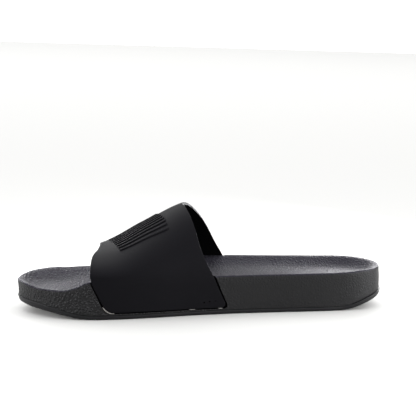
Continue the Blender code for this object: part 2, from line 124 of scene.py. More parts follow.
class SandalSole(bpy.types.PropertyGroup):
    """Sizes of the foam footbed and of the outsole."""
    length: size("Length", 0.288, "Length of the sole along its foot wall")
    ball_width: size("Ball width", 0.0965, "Width across the ball of the foot")
    rim_height: size("Rim height", 0.030, "Height of the rim at the middle of the shoe")
    bed_height: size("Bed height", 0.024, "Height of the bed's middle line")
    rim_rounding: size("Rim rounding", 0.0016, "Radius of the rim's outer edge")
    spine_inset: size("Spine inset", 0.031, "How far the middle line ends inside toe and heel")
    wall_draft: size("Wall draft", 0.0010, "How far the wall leans in towards its foot")
    heel_flare: size("Heel flare", 0.0010, "How far the wall leans out at the heel")
    heel_lift: size("Heel lift", 0.0085, "Rise of the underside at the heel's end")
    toe_spring: size("Toe spring", 0.0066, "Rise of the underside at the toe's end")
    outsole: size("Outsole", 0.0032, "Thickness of the rubber outsole")
    outsole_end: size("Outsole at the ends", 0.0050, "Its thickness where it curls up")
    heel_lip: size("Heel lip", 0.0022, "How far the outsole stands proud round the heel")
    toe_inset: size("Toe inset", 0.0005, "How far the outsole lies inside the outline at the toe")
    end_lean: size("End lean", 0.0014, "How far the outsole's side leans in below at its ends")
    edge_rounding: size("Edge rounding", 0.0015, "Radius of the outsole's lower edge")
    groove_depth: size("Groove depth", 0.0014, "Depth of the tread's cross grooves")
    groove_width: size("Groove width", 0.0032, "Width of the tread's cross grooves")
    groove_pitch: size("Groove pitch", 0.0125, "Distance between the cross grooves")
    groove_margin: size("Groove margin", 0.0105, "Plain edge beside the cross grooves")
    clearance: size("Clearance", 0.0003, "Gap between pieces that meet")


class SandalStrap(bpy.types.PropertyGroup):
    """Sizes of the strap and of what is on it."""
    wall: size("Wall", 0.0024, "Thickness of the strap")
    height: size("Height", 0.0770, "Height of the crown's measure")
    proud: size("Proud", 0.0003, "How far the strap's ends stand out of the wall")
    foot: size("Foot", 0.0022, "Distance of the strap's ends above the outsole")
    corner: size("Corner", 0.0045, "Radius of the corners of the strap's ends")
    rounding: size("Rounding", 0.0007, "Radius of the strap's edges")
    pocket_gap: size("Pocket gap", 0.0010, "Gap round the strap's ends in their pockets")
    rib_count: IntProperty(name="Ribs", default=9, min=0, description="Number of raised ribs")
    rib_length: size("Rib length", 0.037, "Length of a rib")
    rib_width: size("Rib width", 0.0022, "Width of a rib")
    rib_pitch: size("Rib pitch", 0.0052, "Distance between the ribs")
    rib_height: size("Rib height", 0.0011, "How far a rib stands up")


class SandalColours(bpy.types.PropertyGroup):
    """Colours of the shoe and of the floor."""
    foam: colour("Foam", "#0D0D0D", "Black moulded foam")
    rubber: colour("Outsole rubber", "#141416", "Black outsole rubber")
    band: colour("Strap", "#040405", "Black moulded strap")
    # The gap colour is painted shade: a near-black that stands in for the shade in the pockets, the
    # pinholes and the strap's inside.
    gap: colour("Painted shade in gaps", "#020203", "Black of the pockets and of the strap's inside")
    glue: colour("Dried glue", "#7A7875", "Pale glue and dust left at the strap's ends")
    floor: colour("Floor", "#BEBEBD", "Pale studio floor")


# Girth where the strap leaves the wall, and girth that the pockets reach up to
SPRING_GIRTH = 0.73
POCKET_GIRTH = 0.642

# Middle of the ribs, stations of the tread's flat part, width of the change from side to side
RIB_STATION = 0.684
RIB_MIDDLE = -0.003
FLAT_STATIONS = (0.150, 0.830)
SIDE_BLEND = 0.024

# Rounding at the top of the outsole's side, and ledge inside it where the lip stands proud
LIP_ROUNDING = (0.0006, 0.0002)
LIP_LEDGE = 0.0005

# Numbers of points and rings that the shapes are worked out with
SPAN_STEPS = 10
FINE_SPAN_STEPS = 24
GIRTH_SAMPLES = 1200
JOINT_RINGS = 8
WALL_RINGS = 15
RIM_RINGS = 7
BED_RINGS = 49
TREAD_RINGS = 14
EDGE_RINGS = 6
STRAP_GRID = (260, 73)
POCKET_GRID = (120, 25)
RIB_GRID = (61, 13)
PIN_SIDES = 12
BEAD_SIDES = 10
BEAD_STEPS = 8

# Pinholes in the strap's inner end: X from the middle of the shoe, height, radius
PINHOLES = np.array([(-0.0097, 0.0100, 0.00060), (-0.0052, 0.0103, 0.00055),
                     (-0.0003, 0.0108, 0.00040)])

# How far a pinhole's guide reaches out of and into the outline of the sole
PIN_REACH = (-0.001, 0.002)

# Runs of dried glue round the strap's inner end: radius, then points of girth and across
GLUE_RUNS = (
    (0.00040, ((-0.945, 1.0), (-0.96, 1.0), (-0.975, 1.0), (-0.988, 1.0), (-1.0, 1.0),
               (-1.0, 0.98))),
    (0.00022, ((-1.0, 0.31), (-1.0, 0.28), (-1.0, 0.25))),
    (0.00028, ((-1.0, 0.0), (-1.0, 0.02), (-1.0, 0.04))))

# Softboxes that face the shoe: place, width and height, watts
SOFTBOXES = {
    "heel_softbox": ((0.58, -0.26, 0.16), (0.3, 0.2), 3.8),
    "toe_softbox": ((-0.62, -0.10, 0.14), (0.3, 0.16), 2.6),
    "heel_back_softbox": ((0.36, 0.30, 0.14), (0.14, 0.10), 1.1),
    "toe_back_softbox": ((-0.20, 0.25, 0.10), (0.10, 0.08), 0.4),
    "heel_rim_softbox": ((0.175, 0.12, 0.080), (0.06, 0.04), 0.13),
    "toe_rim_softbox": ((-0.13, 0.14, 0.07), (0.06, 0.04), 0.15)}

# Light of the surroundings: axis, where its smooth step starts and ends, strength at the end
SKY = (("Y", -0.3, 0.8, 0.46), ("X", 0.3, 1.0, 0.9), ("X", -0.3, -1.0, 0.9), ("Z", 0.1, 0.9, 1.6))
FRONT_LIGHT = 0.10

# Camera: degrees round from the inner side, up and rolled, distance from the point it is set by,
# and focal length and that point's place from the picture's middle, in pixels of a square picture
CAMERA_TURN = (15.5, 11.3, 2.3)
CAMERA_DISTANCE = 1.070
CAMERA_POINT = (-0.00045, 0.0, 0.029)
FOCAL_PIXELS = 1377.0
OFF_MIDDLE = (4.6, 58.9)
PICTURE_PIXELS = 416
SENSOR_MM = 36


def smooth(rows, item, where):
    """A table's column read between its rows by a monotone cubic.

    The slope at a row is the harmonic mean of the slopes on both sides of it, and 0 at a turn.
    """
    x, y = rows[:, 0], rows[:, item]
    step = np.diff(x)
    slope = np.diff(y) / step
    bend = np.concatenate([slope[:1], np.zeros(len(x) - 2), slope[-1:]])
    turning = slope[:-1] * slope[1:] > 0
    total = np.where(turning, slope[:-1] + slope[1:], 1.0)
    bend[1:-1] = np.where(turning, 2 * slope[:-1] * slope[1:] / total, 0.0)
    where = np.clip(np.asarray(where, float), x[0], x[-1])
    i = np.clip(np.searchsorted(x, where) - 1, 0, len(x) - 2)
    t = (where - x[i]) / step[i]
    return ((2 * t**3 - 3 * t**2 + 1) * y[i] + (t**3 - 2 * t**2 + t) * step[i] * bend[i]
            + (3 * t**2 - 2 * t**3) * y[i + 1] + (t**3 - t**2) * step[i] * bend[i + 1])


class Last:
    """The forms that the sole and the strap share, worked out from the sizes."""

    def __init__(self, sole, strap):
        self.sole = sole
        self.strap = strap
        self.fine = self.outline(FINE_SPAN_STEPS)

    def station(self, x):
        """Share of the sole's length from the heel to X."""
        return 0.5 - np.asarray(x) / self.sole.length

    def x_at(self, station):
        """X at a station."""
        return self.sole.length * (0.5 - np.asarray(station))

    def outline(self, steps):
        """Closed curve from the heel along the inner side to the toe and back on the outer side.

        Each span between two rows is a Catmull-Rom cubic of the points on both sides of it.
        """
        x = self.x_at(OUTLINE[:, 0])
        half = self.sole.ball_width / 2
        there = np.column_stack([x, -OUTLINE[:, 1] * half])
        back = np.column_stack([x, OUTLINE[:, 2] * half])[-2:0:-1]
        points = np.vstack([there, back])
        t = (np.arange(steps) / steps)[None, :, None]
        a, b, c, d = (np.roll(points, k, axis=0)[:, None, :] for k in (1, 0, -1, -2))
        curve = 0.5 * (2 * b + (c - a) * t + (2 * a - 5 * b + 4 * c - d) * t**2
                       + (3 * b - a - 3 * c + d) * t**3)
        return curve.reshape(-1, 2)

    def side_y(self, x, side):
        """The outline's Y at X, on the inner side (-1) or the outer side (1)."""
        half = len(self.fine) // 2
        if side < 0:
            line = self.fine[:half + 1][::-1]
        else:
            line = np.vstack([self.fine[half:], self.fine[:1]])
        return np.interp(x, line[:, 0], line[:, 1])

    def middle(self, curve):
        """Middle line of the sole: the mean of inner and outer side, drawn in at toe and heel."""
        half = self.sole.length / 2
        x = curve[:, 0] * (half - self.sole.spine_inset) / half
        return np.column_stack([x, (self.side_y(x, -1) + self.side_y(x, 1)) / 2])

    def inner_share(self, curve):
        """1 on the inner side, 0 on the outer side, and a straight blend round toe and heel."""
        across = (curve[:, 1] - self.middle(curve)[:, 1]) / SIDE_BLEND
        return 0.5 - 0.5 * np.clip(across, -1, 1)

    def underside(self, x):
        """Height of the sole's underside: 0 on the flat part, rising to the heel and the toe."""
        s = self.station(x)
        return (self.sole.heel_lift * smooth(UNDERSIDES, 1, s)
                + self.sole.toe_spring * smooth(UNDERSIDES, 2, s))

    def end_form(self, x):
        """How far the outsole has its end form: 0 along the shoe, 1 round heel and toe."""
        return smooth(UNDERSIDES, 3, self.station(x))

    def joint(self, x):
        """Height of the outsole's top: the underside and the thickness there."""
        extra = (self.sole.outsole_end - self.sole.outsole) * self.end_form(x)
        return self.underside(x) + self.sole.outsole + extra

    def rim(self, curve):
        """Height of the rim: its inner and outer rows, each times its side's share."""
        s = self.station(curve[:, 0])
        share = self.inner_share(curve)
        return self.sole.rim_height * (smooth(HEIGHTS, 1, s) * share
                                       + smooth(HEIGHTS, 2, s) * (1 - share))

    def bed(self, x):
        """Height of the bed's middle line."""
        return self.sole.bed_height * smooth(HEIGHTS, 3, self.station(x))

    def draft(self, x):
        """How far the wall's foot is set in, which turns into the flare round the heel."""
        heel = smooth(UNDERSIDES, 4, self.station(x))
        return self.sole.wall_draft - (self.sole.wall_draft + self.sole.heel_flare) * heel

    def section(self, x, side):
        """Ridge, half width, squareness and rise of the strap's section at X."""
        s = self.station(x)
        inner = self.side_y(x, -1) - self.strap.proud
        outer = self.side_y(x, 1) + self.strap.proud
        ridge = (inner + outer) / 2 - (outer - inner) / 2 * smooth(SECTIONS, 2, s)
        half = np.where(side < 0, ridge - inner, outer - ridge)
        square = np.where(side < 0, smooth(SECTIONS, 3, s), smooth(SECTIONS, 4, s))
        rise = self.strap.height * smooth(SECTIONS, 1, s) - self.sole.rim_height
        return ridge, half, square, rise

    def strap_face(self, girth, across, spread=0.0, drop=0.0):
        """Outer face of the strap, for girth -1 to 1 and across 0 (rear edge) to 1 (front edge).

        Above the rim a section is a superellipse in polar form: its radius at an angle is
        (sin^n + cos^n)^(-1/n), times the half width across and the rise up. Below, it lies on the
        side wall. The ends' corners are rounded by quarter circles.
        """
        side = np.sign(girth)
        reach = np.abs(girth)
        on_wall = np.clip((reach - SPRING_GIRTH) / (1 - SPRING_GIRTH), 0, 1)
        foot_length = self.sole.rim_height - self.sole.outsole - self.strap.foot
        radius = self.strap.corner
        hidden = np.clip(radius - (1 - on_wall) * foot_length, 0, radius)
        corner = np.where(reach > SPRING_GIRTH, radius - np.sqrt(radius**2 - hidden**2), 0.0)
        rear = self.x_at(smooth(EDGES, 1, girth)) - corner + spread
        front = self.x_at(smooth(EDGES, 2, girth)) + corner - spread
        x = rear + (front - rear) * across
        ridge, half, square, rise = self.section(x, side)
        angle = np.pi / 2 * np.clip(reach / SPRING_GIRTH, 0, 1)
        polar = (np.sin(angle)**square + np.cos(angle)**square)**(-1 / square)
        inset = np.where(on_wall > 0, self.draft(x) * smooth(WALL, 1, 1 - on_wall), 0.0)
        y = ridge + side * (half * polar * np.sin(angle) - inset)
        wall_z = self.sole.rim_height - on_wall * (foot_length + drop)
        arch_z = self.sole.rim_height + rise * polar * np.cos(angle)
        return np.stack([x, y, np.where(on_wall > 0, wall_z, arch_z)], axis=-1)

    def even_girth(self, steps):
        """Girths that are evenly spaced on the mean of the strap's two edges."""
        fine = np.linspace(-1, 1, GIRTH_SAMPLES)
        run = np.zeros(len(fine))
        for across in (0.0, 1.0):
            path = self.strap_face(fine, across)
            run[1:] += np.cumsum(np.linalg.norm(np.diff(path, axis=0), axis=1))
        return np.interp(np.linspace(0, run[-1], steps + 1), run, fine)

    def crown_z(self, x, y):
        """Height of the strap's outer face over a point of the plan."""
        side = np.where(y < self.section(x, 1)[0], -1, 1)
        ridge, half, square, rise = self.section(x, side)
        share = np.abs(y - ridge) / half
        return self.sole.rim_height + rise * (1 - share**square)**(1 / square)


def inward(curve):
    """Unit directions into a closed outline, square to it."""
    along = np.roll(curve, -1, axis=0) - np.roll(curve, 1, axis=0)
    normal = np.column_stack([along[:, 1], -along[:, 0]])
    return normal / np.linalg.norm(normal, axis=1)[:, None]


def ring(plan, z):
    """Points of a ring from its plan and its height."""
    return np.column_stack([plan, np.broadcast_to(z, len(plan))])


def grid_faces(rows, columns, closed):
    """Corner numbers of a grid's four-sided faces, with its last column joined to its first."""
    r = np.arange(rows - 1)[:, None]
    c = np.arange(columns if closed else columns - 1)[None, :]
    d = (c + 1) % columns
    corners = [r * columns + c, r * columns + d, (r + 1) * columns + d, (r + 1) * columns + c]
    return np.stack(np.broadcast_arrays(*corners), axis=-1).reshape(-1, 4)


def new_mesh(name, points, faces):
    """A linked object with doubles merged and faces turned outwards."""
    mesh = bpy.data.meshes.new(name)
    mesh.from_pydata((points.reshape(-1, 3) + TO_ORIGIN).tolist(), [],
                     [[int(corner) for corner in face] for face in faces])
    body = bmesh.new()
    body.from_mesh(mesh)
    bmesh.ops.remove_doubles(body, verts=body.verts, dist=1e-6)
    bmesh.ops.recalc_face_normals(body, faces=body.faces)
    body.to_mesh(mesh)
    body.free()
    made = bpy.data.objects.new(name, mesh)
    bpy.context.scene.collection.objects.link(made)
    return made


def settle(piece, guides=()):
    """Turns the piece's modifiers into its mesh, with crisp edges past 32 degrees, and drops the
    guides that they used."""
    bpy.context.view_layer.update()
    graph = bpy.context.evaluated_depsgraph_get()
    mesh = bpy.data.meshes.new_from_object(piece.evaluated_get(graph))
    piece.modifiers.clear()
    piece.data = mesh
    for guide in guides:
        bpy.data.objects.remove(guide, do_unlink=True)
    if not len(mesh.polygons):
        raise RuntimeError(piece.name + " came out empty")
    mesh.shade_smooth()
    mesh.set_sharp_from_angle(angle=math.radians(32))


def cut(piece, guide):
    """Takes the guide out of the piece. The cut faces keep the guide's material, if it has one."""
    step = piece.modifiers.new(guide.name, "BOOLEAN")
    step.operation = "DIFFERENCE"
    step.object = guide
    step.solver = "EXACT"
    step.material_mode = "TRANSFER"


def dress(piece, node):
    """Puts the piece under the frame's root and hides the frame's node that it stands in for."""
    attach(piece, "root")
    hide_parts(node)


def add(owner, kind, settings=None, links=None):
    """Adds a shader node to a material or world, sets its attributes or sockets, links its inputs."""
    tree = owner.node_tree
    node = tree.nodes.new(kind)
    for key, value in (settings or {}).items():
        if isinstance(key, int) or key in node.inputs:
            node.inputs[key].default_value = value
        else:
            setattr(node, key, value)
    for key, source in (links or {}).items():
        tree.links.new(source, node.inputs[key])
    return node


def new_material(name, base, roughness, specular, tint="#FFFFFF"):
    """A material with one Principled BSDF of constant values, and that shader."""
    made = bpy.data.materials.new(name)
    made.use_nodes = True
    shader = made.node_tree.nodes["Principled BSDF"]
    shader.inputs["Base Color"].default_value = (*base, 1.0)
    shader.inputs["Roughness"].default_value = roughness
    shader.inputs["Specular IOR Level"].default_value = specular
    shader.inputs["Specular Tint"].default_value = (*linear(tint), 1.0)
    shader.inputs["IOR"].default_value = 1.5
    return made, shader


def step_of(owner, source, start, end, low=0.0, high=1.0):
    """Smooth step of a value, from low at the start to high at the end."""
    return add(owner, "ShaderNodeMapRange",
               {"interpolation_type": "SMOOTHSTEP", "From Min": start, "From Max": end,
                "To Min": low, "To Max": high}, {"Value": source}).outputs["Result"]


def combine(owner, operation, first, second):
    """One math step on two values, each a node's output or a number."""
    node = add(owner, "ShaderNodeMath", {"operation": operation})
    for socket, value in zip(node.inputs, (first, second)):
        if isinstance(value, float):
            socket.default_value = value
        else:
            owner.node_tree.links.new(value, socket)
    return node.outputs[0]


def raise_by(material, shader, height, distance):
    """Bends the shader's normals as if the surface stood up by the height times the distance."""
    bump = add(material, "ShaderNodeBump", {"Strength": 1.0, "Distance": distance},
               {"Height": height})
    material.node_tree.links.new(bump.outputs["Normal"], shader.inputs["Normal"])


def moulded_foam(colours):
    """Closed-cell EVA foam from a mould with a leather grain: matt, with cells about 2.2 mm across
    that stand up between narrow troughs, strong on the bed and round the toe and worn faint on the
    wall behind the strap. The real grain is nearer 1.5 mm, which the picture is too coarse to
    show. Its sheen has a painted cold tint: lavender on the faces that look up and near white on
    the walls, a painted reflection of cool light from above."""
    made, shader = new_material("moulded_eva_foam_grained", colours.foam, 0.55, 0.27)
    where = add(made, "ShaderNodeTexCoord")
    place = where.outputs["Object"]
    along = add(made, "ShaderNodeSeparateXYZ", {}, {0: place}).outputs["X"]
    up = add(made, "ShaderNodeSeparateXYZ", {}, {0: where.outputs["Normal"]}).outputs["Z"]
    # Painted reflection: the specular tint turns lavender on faces that look up, standing in for cool
    # light from above.
    painted_cool_sheen = add(made, "ShaderNodeMix", {"data_type": "RGBA", 6: (*linear("#F6F6FB"), 1.0),
                                        7: (*linear("#DAD2FF"), 1.0)},
                {0: step_of(made, up, 0.2, 0.7)})
    made.node_tree.links.new(painted_cool_sheen.outputs[2], shader.inputs["Specular Tint"])
    amount = combine(made, "MAXIMUM", step_of(made, up, 0.2, 0.7, 0.0, 0.38),
                     step_of(made, along, 0.03, -0.07, 0.14, 0.75))
    wander = add(made, "ShaderNodeTexNoise", {"Scale": 1 / 0.004, "Detail": 2.0},
                 {"Vector": place})
    shift = add(made, "ShaderNodeVectorMath", {"operation": "MULTIPLY_ADD", 1: (0.0012,) * 3},
                {0: wander.outputs["Color"], 2: place})
    cells = add(made, "ShaderNodeTexVoronoi", {"feature": "DISTANCE_TO_EDGE",
                                               "Scale": 1 / 0.0022},
                {"Vector": shift.outputs["Vector"]})
    raised = step_of(made, cells.outputs["Distance"], 0.0, 0.4)
    swell = add(made, "ShaderNodeTexNoise", {"Scale": 1 / 0.006, "Detail": 1.0},
                {"Vector": place}).outputs["Fac"]
    grain = combine(made, "MULTIPLY", combine(made, "ADD", raised, swell), amount)
    raise_by(made, shader, grain, 0.0009)
    return made


def painted_shade_black(colours):
    """Painted shade: matt near-black on the pockets, the pinholes and the strap's inside, for their
    shade.
    """
    made, _ = new_material("matt_painted_shade", colours.gap, 0.9, 0.03)
    return made


def dried_glue(colours):
    """Dried cement squeezed out of a joint: pale, matt and a little lumpy."""
    made, shader = new_material("dried_glue_matt", colours.glue, 0.7, 0.3)
    place = add(made, "ShaderNodeTexCoord").outputs["Object"]
    lumps = add(made, "ShaderNodeTexNoise", {"Scale": 1 / 0.001, "Detail": 2.0},
                {"Vector": place}).outputs["Fac"]
    raise_by(made, shader, lumps, 0.0003)
    return made


def moulded_outsole_rubber(colours):
    """Solid rubber from a mould: matt, with a faint uneven skin of about 3 mm, and under the sole
    a fine cross ribbing of 2.5 mm between the grooves."""
    made, shader = new_material("moulded_outsole_rubber", colours.rubber, 0.5, 0.2, "#F8F8F8")
    where = add(made, "ShaderNodeTexCoord")
    place = where.outputs["Object"]
    skin = add(made, "ShaderNodeTexNoise", {"Scale": 1 / 0.003, "Detail": 4.0},
               {"Vector": place}).outputs["Fac"]
    up = add(made, "ShaderNodeSeparateXYZ", {}, {0: where.outputs["Normal"]}).outputs["Z"]
    along = add(made, "ShaderNodeSeparateXYZ", {}, {0: place}).outputs["X"]
    turns = combine(made, "MULTIPLY", along, 2 * math.pi / 0.0025)
    ribbing = combine(made, "MULTIPLY", combine(made, "SINE", turns, 0.0),
                      step_of(made, up, -0.7, -0.9, 0.0, 2.0))
    raise_by(made, shader, combine(made, "ADD", skin, ribbing), 0.0001)
    return made


def moulded_strap_rubber(colours):
    """Soft synthetic rubber from a polished mould: even and satin, with a very shallow waviness and
    the cold sheen of a black moulding."""
    made, shader = new_material("moulded_strap_rubber_satin", colours.band, 0.55, 0.11, "#F0EDFF")
    place = add(made, "ShaderNodeTexCoord").outputs["Object"]
    skin = add(made, "ShaderNodeTexNoise", {"Scale": 1 / 0.004, "Detail": 2.0},
               {"Vector": place}).outputs["Fac"]
    raise_by(made, shader, skin, 0.00002)
    return made


def sizes(context):
    """The shoe's forms from the sizes that are set in the scene."""
    return Last(context.scene.sandal_sole, context.scene.sandal_strap)


class SANDAL_OT_footbed(bpy.types.Operator):
    """Builds the cupped foam footbed with its two pockets"""
    bl_idname = "sandal.footbed"
    bl_label = "Foam footbed"

    def execute(self, context):
        """Rings round the sole: joint face, drafted wall, quarter-round rim, dished bed."""
        last = sizes(context)
        sole = last.sole
        curve = last.outline(SPAN_STEPS)
        normal = inward(curve)
        middle = last.middle(curve)
        x = curve[:, 0]
        foot = curve + normal * last.draft(x)[:, None]
        low = last.joint(x) + sole.clearance
        top = last.rim(curve)
        rings = []
        for way in np.linspace(1, 0, JOINT_RINGS):
            plan = foot + (middle - foot) * way
            rings.append(ring(plan, last.joint(plan[:, 0]) + sole.clearance))
        for share in np.linspace(0, 1, WALL_RINGS)[1:]:
            z = low + (top - sole.rim_rounding - low) * share
            inset = last.draft(x) * smooth(WALL, 1, (z - low) / (top - low))
            rings.append(ring(curve + normal * inset[:, None], z))
        for turn in np.linspace(0, np.pi / 2, RIM_RINGS)[1:]:
            plan = curve + normal * sole.rim_rounding * (1 - np.cos(turn))
            rings.append(ring(plan, top - sole.rim_rounding * (1 - np.sin(turn))))
        edge = curve + normal * sole.rim_rounding
        for way in np.linspace(0, 1, BED_RINGS)[1:]:
            plan = edge + (middle - edge) * way
            floor = last.bed(plan[:, 0])
            rings.append(ring(plan, floor + (top - floor) * smooth(DISH, 1, way)))
        points = np.stack(rings)
        piece = new_mesh("footbed_foam", points, grid_faces(*points.shape[:2], True))
        piece.data.materials.append(moulded_foam(context.scene.sandal_colours))
        # Painted shade: the pockets' cut faces take a near-black material that stands in for the
        # shade inside them.
        black = painted_shade_black(context.scene.sandal_colours)
        guides = [pocket_guide(last, side) for side in (-1, 1)]
        for guide in guides:
            guide.data.materials.append(black)
            cut(piece, guide)
        settle(piece, guides)
        dress(piece, "footbed")
        return {"FINISHED"}


def pocket_guide(last, side):
    """Slab along the strap's end that cuts its pocket: the strap's face, grown by the gap.

    It grows by 1.2 times the gap at the front edge and by 2 times at the rear edge, where the
    pocket's greater depth takes part of it back.
    """
    girth = last.even_girth(POCKET_GRID[0])
    girth = girth[girth * side > POCKET_GIRTH]
    across = np.linspace(0, 1, POCKET_GRID[1])
    g, a = np.meshgrid(girth, across, indexing="ij")
    gap = last.strap.pocket_gap
    points = last.strap_face(g, a, gap * (2 - 0.8 * a), gap)
    points[..., 1] += side * last.strap.wall
    guide = new_mesh("pocket_guide", points, grid_faces(*g.shape, False))
    if guide.data.polygons[0].normal.y * side < 0:
        guide.data.flip_normals()
    slab = guide.modifiers.new("slab", "SOLIDIFY")
    slab.thickness = 2 * last.strap.wall + last.sole.clearance
    slab.offset = -1
    slab.use_even_offset = True
    return guide


class SANDAL_OT_outsole(bpy.types.Operator):
    """Builds the rubber outsole with its lip and its cross grooves"""
    bl_idname = "sandal.outsole"
    bl_label = "Rubber outsole"

    def execute(self, context):
        """Rings round the sole: tread, quarter-round edge, side, joint face."""
        last = sizes(context)
        sole = last.sole
        curve = last.outline(SPAN_STEPS)
        normal = inward(curve)
        middle = last.middle(curve)
        x = curve[:, 0]
        proud = np.where(x > 0, sole.heel_lip, -sole.toe_inset)
        lip = last.draft(x) - (last.draft(x) + proud) * last.end_form(x)
        side = curve + normal * lip[:, None]
        round_up = sole.edge_rounding
        lean = sole.end_lean * last.end_form(x)
        height = last.joint(x) - last.underside(x)
        tread = side + normal * (round_up + lean)[:, None]
        rings = []
        for way in np.linspace(1, 0, TREAD_RINGS):
            plan = tread + (middle - tread) * way
            rings.append(ring(plan, last.underside(plan[:, 0])))
        for turn in np.linspace(0, np.pi / 2, EDGE_RINGS)[1:]:
            up = round_up * (1 - np.cos(turn))
            inset = round_up * (1 - np.sin(turn)) + lean * (1 - up / height)
            rings.append(ring(side + normal * inset[:, None], last.underside(x) + up))
        crest = last.joint(x)
        low, small = LIP_ROUNDING
        rings.append(ring(side, crest - low))
        rings.append(ring(side + normal * small, crest - small))
        foot = curve + normal * last.draft(x)[:, None]
        foot = np.where((lip < last.draft(x))[:, None], foot, side + normal * LIP_LEDGE)
        for way in np.linspace(0, 1, JOINT_RINGS):
            plan = foot + (middle - foot) * way
            rings.append(ring(plan, last.joint(plan[:, 0])))
        points = np.stack(rings)
        piece = new_mesh("outsole_rubber", points, grid_faces(*points.shape[:2], True))
        rubber = moulded_outsole_rubber(context.scene.sandal_colours)
        piece.data.materials.append(rubber)
        guide = groove_guide(last)
        guide.data.materials.append(rubber)
        cut(piece, guide)
        settle(piece, [guide])
        dress(piece, "outsole")
        return {"FINISHED"}


def groove_guide(last):
    """Boxes across the tread, one at each pitch of the flat part."""
    sole = last.sole
    count = round((FLAT_STATIONS[1] - FLAT_STATIONS[0]) * sole.length / sole.groove_pitch)
    x = last.x_at(FLAT_STATIONS[0]) - sole.groove_pitch * np.arange(1, count + 1)
    low = last.side_y(x, -1) + sole.groove_margin
    high = last.side_y(x, 1) - sole.groove_margin
    corner = np.array([(i, j, k) for i in (0, 1) for j in (0, 1) for k in (0, 1)], float)
    points = np.empty((count, 8, 3))
    points[..., 0] = x[:, None] + (corner[:, 0] - 0.5) * sole.groove_width
    points[..., 1] = low[:, None] + (high - low)[:, None] * corner[:, 1]
    points[..., 2] = (corner[:, 2] * 2 - 1) * sole.groove_depth
    sides = np.array([(0, 1, 3, 2), (4, 6, 7, 5), (0, 4, 5, 1), (2, 3, 7, 6), (0, 2, 6, 4),
                      (1, 5, 7, 3)])
    faces = (np.arange(count)[:, None, None] * 8 + sides).reshape(-1, 4)
    return new_mesh("groove_guide", points, faces)


class SANDAL_OT_strap(bpy.types.Operator):
    """Builds the hollow moulded strap"""
    bl_idname = "sandal.strap"
    bl_label = "Moulded strap"

    def execute(self, context):
        """The strap's outer face on a grid of girth and across, with its wall set inwards.

        Three pinholes go into its inner end. Its inside and the pinholes' walls carry painted shade:
        a near-black material of their own.
        """
        last = sizes(context)
        girth, across = last.even_girth(STRAP_GRID[0]), np.linspace(0, 1, STRAP_GRID[1])
        g, a = np.meshgrid(girth, across, indexing="ij")
        piece = new_mesh("strap_band", last.strap_face(g, a), grid_faces(*g.shape, False))
        top = max(piece.data.polygons, key=lambda face: face.center.z)
        if top.normal.z < 0:
            piece.data.flip_normals()
        wall = piece.modifiers.new("wall", "SOLIDIFY")
        wall.thickness = last.strap.wall
        wall.offset = -1
        wall.use_even_offset = True
        wall.material_offset = 1
        rounding = piece.modifiers.new("rounding", "BEVEL")
        rounding.width = last.strap.rounding
        rounding.segments = 3
        rounding.limit_method = "ANGLE"
        rounding.angle_limit = math.radians(50)
        rubber = moulded_strap_rubber(context.scene.sandal_colours)
        # The strap's inside and its pinholes' walls take the painted-shade black.
        black = bpy.data.materials["matt_painted_shade"]
        piece.data.materials.append(rubber)
        piece.data.materials.append(black)
        guide = pinhole_guide(last)
        guide.data.materials.append(black)
        cut(piece, guide)
        settle(piece, [guide])
        dress(piece, "strap")
        return {"FINISHED"}


def pinhole_guide(last):
    """Pins across the shoe, from outside the strap's inner end into its wall.

    A pin is a circle in X and Z at each of its two reaches, joined by its sides.
    """
    turn = np.arange(PIN_SIDES) * 2 * np.pi / PIN_SIDES
    pin = np.arange(len(PINHOLES))[:, None]
    x, z, radius = PINHOLES[:, 0, None], PINHOLES[:, 1, None], PINHOLES[:, 2, None]
    plan = np.broadcast_to(last.side_y(x, -1), (len(PINHOLES), PIN_SIDES))
    ends = [np.stack([x + radius * np.cos(turn), plan + reach, z + radius * np.sin(turn)], axis=-1)
            for reach in PIN_REACH]
    points = np.stack(ends, axis=1).reshape(-1, 3)
    side = np.arange(PIN_SIDES)
    after = (side + 1) % PIN_SIDES
    walls = np.stack([side, after, after + PIN_SIDES, side + PIN_SIDES], axis=-1)
    faces = [tuple(face) for face in (pin[..., None] * 2 * PIN_SIDES + walls).reshape(-1, 4)]
    for first in range(0, len(points), PIN_SIDES):
        faces.append(tuple(range(first, first + PIN_SIDES)))
    return new_mesh("pinhole_guide", points - TO_ORIGIN, faces)


class SANDAL_OT_glue(bpy.types.Operator):
    """Builds the traces of dried glue round the strap's inner end"""
    bl_idname = "sandal.glue"
    bl_label = "Dried glue"

    def execute(self, context):
        """A thin round bead along each run, in the middle of the gap round the strap's end.

        Its radius is the run's own times 1 + 0.25 sin(9 s) and falls to nothing at both ends.
        """
        last = sizes(context)
        half_gap = last.strap.pocket_gap / 2
        turn = (np.arange(BEAD_SIDES) * 2 * np.pi / BEAD_SIDES)[None, :, None]
        points, all_faces = [], []
        for thick, run in GLUE_RUNS:
            s = np.linspace(0, len(run) - 1, BEAD_STEPS * (len(run) - 1) + 1)
            girth, across = (np.interp(s, np.arange(len(run)), part) for part in zip(*run))
            path = last.strap_face(girth, across, half_gap, half_gap)
            along = np.gradient(path, axis=0)
            along /= np.linalg.norm(along, axis=1)[:, None]
            outward = np.array((0.0, 1.0, 0.0))
            beside = np.cross(along, outward)
            bulge = np.sqrt(np.clip(np.sin(np.pi * s / s[-1]), 0, 1))
            radius = thick * bulge * (1 + 0.25 * np.sin(9 * s))
            way = beside[:, None, :] * np.cos(turn) + outward * np.sin(turn)
            bead = path[:, None, :] + radius[:, None, None] * way
            all_faces.append(grid_faces(len(s), BEAD_SIDES, True) + sum(len(p) for p in points))
            points.append(bead.reshape(-1, 3))
        piece = new_mesh("dried_glue", np.vstack(points), np.vstack(all_faces))
        piece.data.materials.append(dried_glue(context.scene.sandal_colours))
        settle(piece)
        dress(piece, "footbed")
        return {"FINISHED"}


